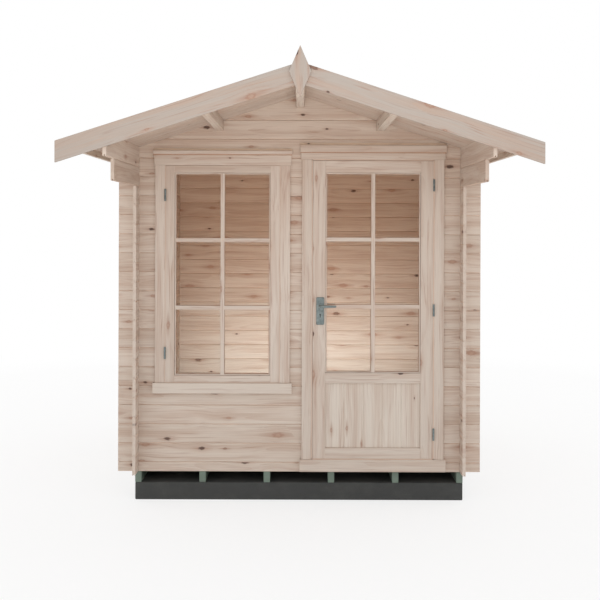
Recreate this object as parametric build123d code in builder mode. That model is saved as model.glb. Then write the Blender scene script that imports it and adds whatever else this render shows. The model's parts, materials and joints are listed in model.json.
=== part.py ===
from build123d import *
from math import cos, floor, radians, tan
import os

# A garden cabin of thin tongue-and-groove spruce logs: a half-glazed door and a tall window in
# the front gable wall, and a low roof that reaches forward as a porch on two stepped logs.
# Millimetres, +Z up, front towards -Y, origin at the middle of the base slab's underside.

# Wall logs
log_thickness = 19
log_cover = 114
log_chamfer = 2.5
shoulder_fall = 2.5
log_gap = 0.4
log_end_reach = 103
tongue_width = 6
tongue_height = 8
tongue_fit = 0.5
notch_fit = 0.5
side_courses = 17
below_window_courses = 4

# Front wall, from corner to corner, and the depth of the room
corner_return = 99
window_frame_width = 807
pier_width = 72
door_frame_width = 850
inside_depth = 1927

# Base, bearers and floor
slab_height = 105
bearer_width = 38
bearer_height = 65
bearer_count = 6
floor_thickness = 19
floor_fit = 1.5

# Roof
roof_pitch = 18
porch_reach = 981
bracket_reach = 774
rear_reach = 181
eaves_reach = 148
purlin_width = 45
purlin_height = 63
ridge_purlin_height = 72
purlin_fit = 0.5
roof_board_thickness = 19
ridge_gap = 0.4
felt_thickness = 3
felt_drip = 8
eaves_board_thickness = 19
eaves_board_drop = 35
barge_thickness = 19
barge_width = 103
barge_stand = 12
barge_tail = 67
finial_width = 111
finial_height = 257
finial_rise = 79
finial_thickness = 16

# Frames of the window and the door
frame_proud = 20
jamb_width = 59
slot_depth = 25
slot_fit = 0.6
log_end_fit = 1
stop_cover = 10
door_stop_gap = 5.5
seat_fit = 0.3
sill_thickness = 21
sill_proud = 34
sill_drop = 40
sill_overhang = 12
threshold_proud = 28
threshold_lift = 6
head_proud = 22
head_overhang = 7
window_head_depth = 45
window_head_rise = 20
door_head_depth = 9
door_head_rise = 35
cap_proud = 34
cap_chamfer = 4
window_cap_height = 24
door_cap_height = 44

# Door leaf and window sash
leaf_thickness = 38
leaf_gap = 6.5
sash_gap = 3
door_stile_width = 75
door_top_rail = 72
door_lock_rail = 61
door_bottom_rail = 63
door_panel_height = 387
panel_thickness = 16
panel_board_width = 114
panel_groove = 3
sash_stile_width = 55
sash_top_rail = 43
sash_bottom_rail = 42
glass_thickness = 4
joinery_fit = 0.2

# Barrel hinges
hinge_height = 72
hinge_radius = 5.5
hinge_stand = 1
hinge_foot = 9
hinge_split = 0.4
hinge_pin_radius = 3
hinge_pin_height = 30
hinge_pin_fit = 0.06
door_hinge_inset = 146
door_hinge_centre_rise = 888
window_hinge_inset = 176

# Lever handle
lever_height = 912
lever_backset = 44
lever_length = 102
lever_grip_height = 14
lever_grip_depth = 11
lever_reach = 32
lever_neck_radius = 8
spindle_radius = 4
spindle_fit = 0.06
spindle_bore_fit = 4
plate_width = 47
plate_height = 164
plate_rise = 52
plate_thickness = 8
plate_corner = 6
plate_gap = 0.5
key_drop = 51
key_radius = 4
key_slot_width = 3
key_slot_height = 11

# Room by which a cut runs past what it cuts
cut_overrun = 5

# Plan of the walls
inside_width = corner_return + window_frame_width + pier_width + door_frame_width + corner_return
inner_x = inside_width / 2
inner_y = inside_depth / 2
wall_x = inner_x + log_thickness / 2
wall_y = inner_y + log_thickness / 2
outer_x = inner_x + log_thickness
outer_y = inner_y + log_thickness
log_tip_x = outer_x + log_end_reach
log_tip_y = outer_y + log_end_reach
notch_width = log_thickness + 2 * notch_fit
window_left = -inner_x + corner_return
window_right = window_left + window_frame_width
door_left = window_right + pier_width
door_right = door_left + door_frame_width

# Levels of the walls: the end walls start with half a log, so their joints fall between
# those of the side walls and every log locks into the two that cross it
wall_base = slab_height + bearer_height
half_log = log_cover / 2
end_courses = side_courses - 1
side_bottoms = [wall_base + course * log_cover for course in range(side_courses)]
end_bottoms = [wall_base + half_log + course * log_cover for course in range(end_courses)]
below_window = end_bottoms[:below_window_courses]
beside_window = end_bottoms[below_window_courses:]
gable_base = end_bottoms[-1] + log_cover
side_top = wall_base + side_courses * log_cover

# Planes of the roof
slope = tan(radians(roof_pitch))
slope_cos = cos(radians(roof_pitch))
roof_edge_x = outer_x + eaves_reach
roof_front_y = -outer_y - porch_reach
roof_back_y = outer_y + rear_reach
board_rise = roof_board_thickness / slope_cos
felt_rise = felt_thickness / slope_cos
purlin_x = inner_x / 2


def roof_under(x):
    """Height of the roof boards' underside at a distance from the ridge."""
    return side_top + (outer_x - abs(x)) * slope


def log_outline(centre, bottom, top, groove=True, tongue=True):
    """Section of a log: bevelled edges and a groove below, a tongue and falling shoulders on top."""
    left = centre - log_thickness / 2
    right = centre + log_thickness / 2
    groove_half = tongue_width / 2 + tongue_fit
    groove_top = bottom + tongue_height + tongue_fit
    tongue_half = tongue_width / 2
    points = [(left, bottom + log_chamfer), (left + log_chamfer, bottom)]
    if groove:
        points += [(centre - groove_half, bottom), (centre - groove_half, groove_top)]
        points += [(centre + groove_half, groove_top), (centre + groove_half, bottom)]
    points += [(right - log_chamfer, bottom), (right, bottom + log_chamfer)]
    points += [(right, top - shoulder_fall), (centre + tongue_half, top)]
    if tongue:
        points += [(centre + tongue_half, top + tongue_height), (centre - tongue_half, top + tongue_height)]
    points += [(centre - tongue_half, top), (left, top - shoulder_fall)]
    return points


def above_roof_outline():
    """Space above the roof boards' underside, from eaves to eaves."""
    top = roof_under(0) + log_cover
    edge = roof_edge_x
    return [(-edge, roof_under(edge)), (0, roof_under(0)), (edge, roof_under(edge)), (edge, top), (-edge, top)]


def slope_outline(side, near, far, low, high):
    """Strip along one roof slope between two distances from the ridge, low and high above its underside."""
    corners = [(near, low), (far, low), (far, high), (near, high)]
    return [(side * x, roof_under(x) + rise) for x, rise in corners]


def box_outline(left, right, bottom, top):
    """Rectangle between two edges and two levels."""
    return [(left, bottom), (right, bottom), (right, top), (left, top)]


pieces = {}

# Base slab under the whole cabin, flush with the outer faces of the walls
with BuildPart() as base_slab:
    with BuildSketch(Plane.XY):
        Rectangle(2 * outer_x, 2 * outer_y)
    extrude(amount=slab_height)
pieces["base_slab"] = base_slab

# Bearers that lie on the slab from front to back, the outer two under the side walls
bearer_pitch = (2 * outer_x - bearer_width) / (bearer_count - 1)
with BuildPart() as floor_bearers:
    with BuildSketch(Plane.XY.offset(slab_height)):
        with GridLocations(bearer_pitch, 2 * outer_y, bearer_count, 1):
            Rectangle(bearer_width, 2 * outer_y)
    extrude(amount=bearer_height)
pieces["floor_bearers"] = floor_bearers

# Floor inside the walls, on the bearers
with BuildPart() as floor_deck:
    with BuildSketch(Plane.XY.offset(wall_base)):
        Rectangle(inside_width - 2 * floor_fit, inside_depth - 2 * floor_fit)
    extrude(amount=floor_thickness)
pieces["floor_deck"] = floor_deck

# Side walls: the two top logs run forward in steps to carry the porch roof. Each log's top half
# is notched where a log of the end walls crosses it, and the lowest log straddles the half logs
with BuildPart() as left_wall_logs:
    with BuildSketch(Plane.XZ.offset(-log_tip_y)):
        for bottom in side_bottoms[:-2]:
            with BuildLine():
                Polyline(*log_outline(-wall_x, bottom, bottom + log_cover - log_gap), close=True)
            make_face()
    extrude(amount=2 * log_tip_y)
    with BuildSketch(Plane.XZ.offset(-log_tip_y)):
        with BuildLine():
            Polyline(*log_outline(-wall_x, side_bottoms[-2], side_bottoms[-1] - log_gap), close=True)
        make_face()
    extrude(amount=log_tip_y + outer_y + bracket_reach)
    with BuildSketch(Plane.XZ.offset(-roof_back_y)):
        with BuildLine():
            Polyline(*log_outline(-wall_x, side_bottoms[-1], roof_under(0), tongue=False), close=True)
        make_face()
    extrude(amount=roof_back_y - roof_front_y)
    with BuildSketch(Plane.XZ.offset(-roof_back_y - cut_overrun)):
        with BuildLine():
            Polyline(*above_roof_outline(), close=True)
        make_face()
    extrude(amount=roof_back_y - roof_front_y + 2 * cut_overrun, mode=Mode.SUBTRACT)
    for crossing in (-wall_y, wall_y):
        with Locations(*[(-wall_x, crossing, bottom + half_log) for bottom in side_bottoms]):
            Box(notch_width, notch_width, half_log - log_gap / 2,
                align=(Align.CENTER, Align.CENTER, Align.MIN), mode=Mode.SUBTRACT)
        with Locations(*[(-wall_x, crossing, bottom + log_cover - log_gap) for bottom in side_bottoms]):
            Box(tongue_width + tongue_fit, notch_width, tongue_height + tongue_fit,
                align=(Align.CENTER, Align.CENTER, Align.MIN), mode=Mode.SUBTRACT)
        with Locations((-wall_x, crossing, wall_base + half_log / 2)):
            Box(notch_width, notch_width, half_log,
                align=(Align.CENTER, Align.CENTER, Align.MAX), mode=Mode.SUBTRACT)
        with Locations((-wall_x, crossing, gable_base)):
            Box(notch_width, notch_width, log_cover,
                align=(Align.CENTER, Align.CENTER, Align.MIN), mode=Mode.SUBTRACT)
pieces["left_wall_logs"] = left_wall_logs

with BuildPart() as right_wall_logs:
    mirror(left_wall_logs.part, about=Plane.YZ)
pieces["right_wall_logs"] = right_wall_logs

# Back wall: a half log, then full logs from corner to corner
with BuildPart() as back_wall_logs:
    with BuildSketch(Plane.YZ.offset(-log_tip_x)):
        with BuildLine():
            Polyline(*log_outline(wall_y, wall_base, wall_base + half_log - log_gap, groove=False), close=True)
        make_face()
        for bottom in end_bottoms:
            with BuildLine():
                Polyline(*log_outline(wall_y, bottom, bottom + log_cover - log_gap), close=True)
            make_face()
    extrude(amount=2 * log_tip_x)
    for crossing in (-wall_x, wall_x):
        with Locations((crossing, wall_y, wall_base + half_log / 2)):
            Box(notch_width, notch_width, (half_log - log_gap) / 2,
                align=(Align.CENTER, Align.CENTER, Align.MIN), mode=Mode.SUBTRACT)
        with Locations(*[(crossing, wall_y, bottom + half_log) for bottom in end_bottoms]):
            Box(notch_width, notch_width, half_log - log_gap / 2,
                align=(Align.CENTER, Align.CENTER, Align.MIN), mode=Mode.SUBTRACT)
        with Locations(*[(crossing, wall_y, bottom - log_gap) for bottom in end_bottoms + [gable_base]]):
            Box(notch_width, tongue_width + tongue_fit, tongue_height + tongue_fit,
                align=(Align.CENTER, Align.CENTER, Align.MIN), mode=Mode.SUBTRACT)
pieces["back_wall_logs"] = back_wall_logs

# Front wall: the half log runs through under the door, and the others stop in the frames' slots.
# Each run of logs is left end, right end, its levels and the side wall that it crosses
window_log_left = window_left + slot_depth - log_end_fit
window_log_right = window_right - slot_depth + log_end_fit
door_log_left = door_left + slot_depth - log_end_fit
door_log_right = door_right - slot_depth + log_end_fit
front_runs = [
    ("front_logs_below_window", -log_tip_x, door_log_left, below_window, -wall_x),
    ("front_logs_left", -log_tip_x, window_log_left, beside_window, -wall_x),
    ("front_logs_between", window_log_right, door_log_left, beside_window, None),
    ("front_logs_right", door_log_right, log_tip_x, end_bottoms, wall_x),
]
for name, left, right, bottoms, crossing in front_runs:
    with BuildPart() as front_logs:
        with BuildSketch(Plane.YZ.offset(left)):
            for bottom in bottoms:
                with BuildLine():
                    Polyline(*log_outline(-wall_y, bottom, bottom + log_cover - log_gap), close=True)
                make_face()
        extrude(amount=right - left)
        if crossing is not None:
            with Locations(*[(crossing, -wall_y, bottom + half_log) for bottom in bottoms]):
                Box(notch_width, notch_width, half_log - log_gap / 2,
                    align=(Align.CENTER, Align.CENTER, Align.MIN), mode=Mode.SUBTRACT)
            with Locations(*[(crossing, -wall_y, bottom + log_cover - log_gap) for bottom in bottoms]):
                Box(notch_width, tongue_width + tongue_fit, tongue_height + tongue_fit,
                    align=(Align.CENTER, Align.CENTER, Align.MIN), mode=Mode.SUBTRACT)
    pieces[name] = front_logs

with BuildPart() as front_half_log:
    with BuildSketch(Plane.YZ.offset(-log_tip_x)):
        with BuildLine():
            Polyline(*log_outline(-wall_y, wall_base, wall_base + half_log - log_gap, groove=False), close=True)
        make_face()
    extrude(amount=2 * log_tip_x)
    with Locations((-wall_x, -wall_y, wall_base + half_log / 2), (wall_x, -wall_y, wall_base + half_log / 2)):
        Box(notch_width, notch_width, half_log,
            align=(Align.CENTER, Align.CENTER, Align.MIN), mode=Mode.SUBTRACT)
pieces["front_half_log"] = front_half_log

# Gable over the front wall: logs cut to the roof's slope and notched for the purlins.
# The lowest one is the lintel of the door and the window, and the topmost reaches the ridge
ridge_edge = roof_under(purlin_width / 2)
gable_courses = floor((ridge_edge - gable_base) / log_cover)
gable_bottoms = [gable_base + course * log_cover for course in range(gable_courses)]
gable_tops = [bottom - log_gap for bottom in gable_bottoms[1:]] + [roof_under(0)]
purlin_bottom = roof_under(purlin_x - purlin_width / 2) - purlin_height
ridge_purlin_bottom = roof_under(0) - ridge_purlin_height
purlin_slot = purlin_width + 2 * purlin_fit
with BuildPart() as front_gable_logs:
    with BuildSketch(Plane.YZ.offset(-log_tip_x)):
        for bottom, top in zip(gable_bottoms, gable_tops):
            with BuildLine():
                Polyline(*log_outline(-wall_y, bottom, top), close=True)
            make_face()
    extrude(amount=2 * log_tip_x)
    with BuildSketch(Plane.XZ.offset(wall_y - log_thickness)):
        with BuildLine():
            Polyline(*above_roof_outline(), close=True)
        make_face()
    extrude(amount=2 * log_thickness, mode=Mode.SUBTRACT)
    with Locations((-purlin_x, -wall_y, purlin_bottom), (purlin_x, -wall_y, purlin_bottom),
                   (0, -wall_y, ridge_purlin_bottom)):
        Box(purlin_slot, notch_width, log_cover,
            align=(Align.CENTER, Align.CENTER, Align.MIN), mode=Mode.SUBTRACT)
pieces["front_gable_logs"] = front_gable_logs

with BuildPart() as back_gable_logs:
    mirror(front_gable_logs.part, about=Plane.XZ)
pieces["back_gable_logs"] = back_gable_logs

# Purlins from barge board to barge board, their tops bevelled to the slopes
with BuildPart() as ridge_purlin:
    with BuildSketch(Plane.XZ.offset(-roof_back_y)):
        with BuildLine():
            Polyline((-purlin_width / 2, ridge_purlin_bottom), (purlin_width / 2, ridge_purlin_bottom),
                     (purlin_width / 2, ridge_edge), (0, roof_under(0)), (-purlin_width / 2, ridge_edge),
                     close=True)
        make_face()
    extrude(amount=roof_back_y - roof_front_y)
pieces["ridge_purlin"] = ridge_purlin

with BuildPart() as side_purlins:
    with BuildSketch(Plane.XZ.offset(-roof_back_y)):
        near = purlin_x - purlin_width / 2
        far = purlin_x + purlin_width / 2
        for side in (-1, 1):
            with BuildLine():
                Polyline((side * near, purlin_bottom), (side * far, purlin_bottom),
                         (side * far, roof_under(far)), (side * near, roof_under(near)), close=True)
            make_face()
    extrude(amount=roof_back_y - roof_front_y)
pieces["side_purlins"] = side_purlins

# Roof: one field of boards on each slope, felt on top and a board along each eaves
for name, side in (("left", -1), ("right", 1)):
    with BuildPart() as roof_boards:
        with BuildSketch(Plane.XZ.offset(-roof_back_y)):
            with BuildLine():
                Polyline(*slope_outline(side, ridge_gap / 2, roof_edge_x, 0, board_rise), close=True)
            make_face()
        extrude(amount=roof_back_y - roof_front_y)
    pieces[f"roof_boards_{name}"] = roof_boards

felt_edge_x = roof_edge_x + eaves_board_thickness + felt_drip
with BuildPart() as roof_felt:
    with BuildSketch(Plane.XZ.offset(-roof_back_y)):
        for side in (-1, 1):
            with BuildLine():
                Polyline(*slope_outline(side, ridge_gap / 2, felt_edge_x, board_rise, board_rise + felt_rise),
                         close=True)
            make_face()
    extrude(amount=roof_back_y - roof_front_y)
pieces["roof_felt"] = roof_felt

eaves_outer_x = roof_edge_x + eaves_board_thickness
with BuildPart() as eaves_boards:
    with BuildSketch(Plane.XZ.offset(-roof_back_y)):
        for side in (-1, 1):
            with BuildLine():
                Polyline((side * roof_edge_x, roof_under(roof_edge_x) - eaves_board_drop),
                         (side * eaves_outer_x, roof_under(roof_edge_x) - eaves_board_drop),
                         (side * eaves_outer_x, roof_under(eaves_outer_x) + board_rise),
                         (side * roof_edge_x, roof_under(roof_edge_x) + board_rise), close=True)
            make_face()
    extrude(amount=roof_back_y - roof_front_y)
pieces["eaves_boards"] = eaves_boards

# Barge boards, mitred at the ridge and cut plumb at their tails, with a diamond finial on the mitre
barge_tip_x = eaves_outer_x + barge_tail
barge_top = board_rise + felt_rise + barge_stand / slope_cos
barge_bottom = barge_top - barge_width / slope_cos
finial_middle = roof_under(0) + barge_top + finial_rise - finial_height / 2
for name, face_y, outward in (("front", roof_front_y, -1), ("back", roof_back_y, 1)):
    with BuildPart() as barge_boards:
        with BuildSketch(Plane.XZ.offset(-face_y)):
            for side in (-1, 1):
                with BuildLine():
                    Polyline(*slope_outline(side, ridge_gap / 2, barge_tip_x, barge_bottom, barge_top), close=True)
                make_face()
        extrude(amount=-outward * barge_thickness)
    pieces[f"{name}_barge_boards"] = barge_boards
    with BuildPart() as finial:
        with BuildSketch(Plane.XZ.offset(-face_y - outward * barge_thickness)):
            with BuildLine():
                Polyline((0, finial_middle - finial_height / 2), (finial_width / 2, finial_middle),
                         (0, finial_middle + finial_height / 2), (-finial_width / 2, finial_middle), close=True)
            make_face()
        extrude(amount=-outward * finial_thickness)
    pieces[f"{name}_finial"] = finial

# Frames: posts slotted over the log ends, a head under the lintel with a drip cap, and stop
# battens behind the leaf. Each is name, left, right, top of the sill and underside of the head
frame_front = -outer_y - frame_proud
frame_back = -inner_y + frame_proud
leaf_back = frame_front + leaf_thickness
sill_top = wall_base + half_log + below_window_courses * log_cover + sill_thickness
threshold_top = wall_base + half_log + sill_thickness
window_head_bottom = gable_base - window_head_depth
door_head_bottom = gable_base - door_head_depth
slot_half = log_thickness / 2 + slot_fit
groove_half = tongue_width / 2 + tongue_fit
groove_height = tongue_height + tongue_fit
frames = [
    ("window", window_left, window_right, sill_top, window_head_bottom,
     window_head_rise, window_cap_height, sash_gap, leaf_back + seat_fit),
    ("door", door_left, door_right, threshold_top, door_head_bottom,
     door_head_rise, door_cap_height, leaf_gap, leaf_back + door_stop_gap),
]
for name, left, right, low, high, head_rise, cap_height, side_gap, stop_front in frames:
    with BuildPart() as jambs:
        with BuildSketch(Plane.XY.offset(low)):
            for edge, inward in ((left, 1), (right, -1)):
                slot_end = edge + inward * slot_depth
                with BuildLine():
                    Polyline((edge, frame_front), (edge + inward * jamb_width, frame_front),
                             (edge + inward * jamb_width, frame_back), (edge, frame_back),
                             (edge, -wall_y + slot_half), (slot_end, -wall_y + slot_half),
                             (slot_end, -wall_y - slot_half), (edge, -wall_y - slot_half), close=True)
                make_face()
        extrude(amount=high - low)
    pieces[f"{name}_jambs"] = jambs

    head_top = gable_base + head_rise
    with BuildPart() as head:
        with BuildSketch(Plane.YZ.offset(left - head_overhang)):
            with BuildLine():
                Polyline(*box_outline(-outer_y - head_proud, -outer_y, high, head_top), close=True)
            make_face()
        extrude(amount=right - left + 2 * head_overhang)
        with BuildSketch(Plane.YZ.offset(left + slot_depth)):
            with BuildLine():
                Polyline(*box_outline(-outer_y, frame_back, high, gable_base - log_gap), close=True)
            make_face()
        extrude(amount=right - left - 2 * slot_depth)
    pieces[f"{name}_head"] = head

    with BuildPart() as cap:
        with BuildSketch(Plane.YZ.offset(left - sill_overhang)):
            with BuildLine():
                Polyline((-outer_y, head_top), (-outer_y - cap_proud, head_top),
                         (-outer_y - cap_proud, head_top + cap_height - cap_chamfer),
                         (-outer_y - cap_proud + cap_chamfer, head_top + cap_height),
                         (-outer_y, head_top + cap_height), close=True)
            make_face()
        extrude(amount=right - left + 2 * sill_overhang)
    pieces[f"{name}_cap"] = cap

    stop_width = side_gap + stop_cover
    with BuildPart() as stops:
        with BuildSketch(Plane.XY.offset(low)):
            for edge, inward in ((left, 1), (right, -1)):
                inner_edge = edge + inward * jamb_width
                with BuildLine():
                    Polyline(*box_outline(inner_edge, inner_edge + inward * stop_width, stop_front, frame_back),
                             close=True)
                make_face()
        extrude(amount=high - low)
        with BuildSketch(Plane.YZ.offset(left + jamb_width + stop_width + joinery_fit)):
            with BuildLine():
                Polyline(*box_outline(stop_front, frame_back, high - stop_width, high), close=True)
            make_face()
        extrude(amount=right - left - 2 * (jamb_width + stop_width + joinery_fit))
    pieces[f"{name}_stops"] = stops

# Sill and threshold: an apron over the wall's face and a tread on the tongue of the log below
for name, left, right, tread_top, apron_bottom, proud in (
    ("window_sill", window_left, window_right, sill_top, sill_top - sill_thickness - sill_drop, sill_proud),
    ("door_threshold", door_left, door_right, threshold_top, wall_base + threshold_lift, threshold_proud),
):
    tread_bottom = tread_top - sill_thickness
    with BuildPart() as sill:
        with BuildSketch(Plane.YZ.offset(left - sill_overhang)):
            with BuildLine():
                Polyline(*box_outline(-outer_y - proud, -outer_y, apron_bottom, tread_top), close=True)
            make_face()
        extrude(amount=right - left + 2 * sill_overhang)
        with BuildSketch(Plane.YZ.offset(left + slot_depth)):
            with BuildLine():
                Polyline((-outer_y, tread_bottom), (-wall_y - groove_half, tread_bottom),
                         (-wall_y - groove_half, tread_bottom + groove_height),
                         (-wall_y + groove_half, tread_bottom + groove_height),
                         (-wall_y + groove_half, tread_bottom), (frame_back, tread_bottom),
                         (frame_back, tread_top), (-outer_y, tread_top), close=True)
            make_face()
        extrude(amount=right - left - 2 * slot_depth)
    pieces[name] = sill

# Window sash: stiles, rails between them and one sheet of glass, closed against its stops
sash_left = window_left + jamb_width + sash_gap
sash_right = window_right - jamb_width - sash_gap
sash_bottom = sill_top + sash_gap
sash_top = window_head_bottom - sash_gap
leaf_left = door_left + jamb_width + leaf_gap
leaf_right = door_right - jamb_width - leaf_gap
leaf_bottom = threshold_top + leaf_gap
leaf_top = door_head_bottom - leaf_gap
panel_bottom = leaf_bottom + door_bottom_rail
panel_top = panel_bottom + door_panel_height
door_glass_bottom = panel_top + door_lock_rail
lever_x = leaf_left + lever_backset
lever_z = leaf_bottom + lever_height
key_z = lever_z - key_drop
with BuildPart() as window_stiles:
    with BuildSketch(Plane.XZ.offset(-frame_front)):
        for left, right in ((sash_left, sash_left + sash_stile_width), (sash_right - sash_stile_width, sash_right)):
            with BuildLine():
                Polyline(*box_outline(left, right, sash_bottom, sash_top), close=True)
            make_face()
    extrude(amount=-leaf_thickness)
pieces["window_stiles"] = window_stiles

rail_left = sash_left + sash_stile_width + joinery_fit
rail_right = sash_right - sash_stile_width - joinery_fit
with BuildPart() as window_rails:
    with BuildSketch(Plane.XZ.offset(-frame_front)):
        for bottom, top in ((sash_bottom, sash_bottom + sash_bottom_rail), (sash_top - sash_top_rail, sash_top)):
            with BuildLine():
                Polyline(*box_outline(rail_left, rail_right, bottom, top), close=True)
            make_face()
    extrude(amount=-leaf_thickness)
pieces["window_rails"] = window_rails

glass_front = frame_front + (leaf_thickness - glass_thickness) / 2
with BuildPart() as window_glass:
    with BuildSketch(Plane.XZ.offset(-glass_front)):
        with BuildLine():
            Polyline(*box_outline(rail_left, rail_right, sash_bottom + sash_bottom_rail + joinery_fit,
                                  sash_top - sash_top_rail - joinery_fit), close=True)
        make_face()
    extrude(amount=-glass_thickness)
pieces["window_glass"] = window_glass

# Door leaf: stiles, three rails, a boarded panel below and one sheet of glass above
with BuildPart() as door_stiles:
    with BuildSketch(Plane.XZ.offset(-frame_front)):
        for left, right in ((leaf_left, leaf_left + door_stile_width), (leaf_right - door_stile_width, leaf_right)):
            with BuildLine():
                Polyline(*box_outline(left, right, leaf_bottom, leaf_top), close=True)
            make_face()
    extrude(amount=-leaf_thickness)
    with BuildSketch(Plane.XZ.offset(-frame_front)):
        with Locations((lever_x, lever_z)):
            Circle(spindle_radius + spindle_bore_fit)
        with Locations((lever_x, key_z)):
            Circle(key_radius)
    extrude(amount=-leaf_thickness, mode=Mode.SUBTRACT)
pieces["door_stiles"] = door_stiles

door_rail_left = leaf_left + door_stile_width + joinery_fit
door_rail_right = leaf_right - door_stile_width - joinery_fit
with BuildPart() as door_rails:
    with BuildSketch(Plane.XZ.offset(-frame_front)):
        for bottom, top in ((leaf_bottom, panel_bottom), (panel_top, door_glass_bottom),
                            (leaf_top - door_top_rail, leaf_top)):
            with BuildLine():
                Polyline(*box_outline(door_rail_left, door_rail_right, bottom, top), close=True)
            make_face()
    extrude(amount=-leaf_thickness)
pieces["door_rails"] = door_rails

# The panel's boards meet in bevelled grooves, on both faces, evenly about the middle of the door
door_middle = (leaf_left + leaf_right) / 2
panel_front = frame_front + (leaf_thickness - panel_thickness) / 2
panel_boards = round((door_rail_right - door_rail_left) / panel_board_width)
groove_span = (panel_boards - 2) * panel_board_width
groove_xs = [door_middle - groove_span / 2 + joint * panel_board_width for joint in range(panel_boards - 1)]
with BuildPart() as door_panel:
    with BuildSketch(Plane.XZ.offset(-panel_front)):
        with BuildLine():
            Polyline(*box_outline(door_rail_left, door_rail_right, panel_bottom + joinery_fit,
                                  panel_top - joinery_fit), close=True)
        make_face()
    extrude(amount=-panel_thickness)
    with BuildSketch(Plane.XY.offset(panel_bottom)):
        for face_y, inward in ((panel_front, 1), (panel_front + panel_thickness, -1)):
            for joint_x in groove_xs:
                with BuildLine():
                    Polyline((joint_x - panel_groove, face_y), (joint_x + panel_groove, face_y),
                             (joint_x, face_y + inward * panel_groove), close=True)
                make_face()
    extrude(amount=door_panel_height, mode=Mode.SUBTRACT)
pieces["door_panel"] = door_panel

with BuildPart() as door_glass:
    with BuildSketch(Plane.XZ.offset(-glass_front)):
        with BuildLine():
            Polyline(*box_outline(door_rail_left, door_rail_right, door_glass_bottom + joinery_fit,
                                  leaf_top - door_top_rail - joinery_fit), close=True)
        make_face()
    extrude(amount=-glass_thickness)
pieces["door_glass"] = door_glass

# Barrel hinges: the frame's half carries the pin, and the leaf's half turns on it
hinge_y = frame_front - hinge_stand - hinge_radius
door_hinge_x = leaf_right + leaf_gap / 2
door_hinge_middle = leaf_bottom + door_hinge_centre_rise
door_hinge_levels = [leaf_bottom + door_hinge_inset, door_hinge_middle, leaf_top - door_hinge_inset]
half_barrel = (hinge_height - hinge_split) / 2


def hinge_foot_outline(axis_x, side, gap):
    """Foot from a barrel's axis to the wood's face on one side of the gap."""
    near = axis_x + side * gap / 2
    return [(axis_x, hinge_y), (near, frame_front), (near + side * hinge_foot, frame_front),
            (axis_x + side * hinge_radius, hinge_y)]


with BuildPart() as door_hinge_pins:
    for level in door_hinge_levels:
        with BuildSketch(Plane.XY.offset(level - hinge_height / 2)):
            with Locations((door_hinge_x, hinge_y)):
                Circle(hinge_radius)
            with BuildLine():
                Polyline(*hinge_foot_outline(door_hinge_x, 1, leaf_gap), close=True)
            make_face()
        extrude(amount=half_barrel)
        with BuildSketch(Plane.XY.offset(level - hinge_height / 2 + half_barrel)):
            with Locations((door_hinge_x, hinge_y)):
                Circle(hinge_pin_radius)
        extrude(amount=hinge_pin_height)
pieces["door_hinge_pins"] = door_hinge_pins

with BuildPart() as door_hinge_knuckles:
    for level in door_hinge_levels:
        with BuildSketch(Plane.XY.offset(level + hinge_height / 2 - half_barrel)):
            with Locations((door_hinge_x, hinge_y)):
                Circle(hinge_radius)
            with BuildLine():
                Polyline(*hinge_foot_outline(door_hinge_x, -1, leaf_gap), close=True)
            make_face()
            with Locations((door_hinge_x, hinge_y)):
                Circle(hinge_pin_radius + hinge_pin_fit, mode=Mode.SUBTRACT)
        extrude(amount=half_barrel)
pieces["door_hinge_knuckles"] = door_hinge_knuckles

window_hinge_x = sash_left - sash_gap / 2
with BuildPart() as window_hinges:
    for level in (sash_bottom + window_hinge_inset, sash_top - window_hinge_inset):
        with BuildSketch(Plane.XY.offset(level - hinge_height / 2)):
            with Locations((window_hinge_x, hinge_y)):
                Circle(hinge_radius)
            for side in (-1, 1):
                with BuildLine():
                    Polyline(*hinge_foot_outline(window_hinge_x, side, sash_gap), close=True)
                make_face()
        extrude(amount=hinge_height)
pieces["window_hinges"] = window_hinges

# Handle: a plate on each face of the leaf, and two levers on one spindle
plate_middle = lever_z + plate_rise - plate_height / 2
with BuildPart() as door_handle_plates:
    for face_y in (frame_front, leaf_back + plate_thickness):
        with BuildSketch(Plane.XZ.offset(-face_y)):
            with Locations((lever_x, plate_middle)):
                RectangleRounded(plate_width, plate_height, plate_corner)
            with Locations((lever_x, lever_z)):
                Circle(spindle_radius + spindle_fit, mode=Mode.SUBTRACT)
            with Locations((lever_x, key_z)):
                Circle(key_radius, mode=Mode.SUBTRACT)
            with Locations((lever_x, key_z - key_slot_height / 2)):
                Rectangle(key_slot_width, key_slot_height, mode=Mode.SUBTRACT)
        extrude(amount=plate_thickness)
pieces["door_handle_plates"] = door_handle_plates

plate_front = frame_front - plate_thickness
plate_back = leaf_back + plate_thickness
neck_length = lever_reach + lever_grip_depth - plate_gap
grip_middle = lever_x + lever_length / 2 - lever_grip_height / 2
with BuildPart() as door_lever:
    with BuildSketch(Plane.XZ.offset(-plate_back - plate_gap)):
        with Locations((lever_x, lever_z)):
            Circle(spindle_radius)
    extrude(amount=plate_back - plate_front + 2 * plate_gap)
    for start_y, outward in ((plate_front - plate_gap, 1), (plate_back + plate_gap, -1)):
        with BuildSketch(Plane.XZ.offset(-start_y)):
            with Locations((lever_x, lever_z)):
                Circle(lever_neck_radius)
        extrude(amount=outward * neck_length)
        with BuildSketch(Plane.XZ.offset(-start_y + outward * (lever_reach - plate_gap))):
            with Locations((grip_middle, lever_z)):
                SlotOverall(lever_length, lever_grip_height)
        extrude(amount=outward * lever_grip_depth)
pieces["door_lever"] = door_lever

for name, piece in pieces.items():
    piece.part.label = name
    export_step(piece.part, f"parts/{name}.step")
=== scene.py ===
import json
import math
import random

import bmesh
import bpy
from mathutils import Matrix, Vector, noise


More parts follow.
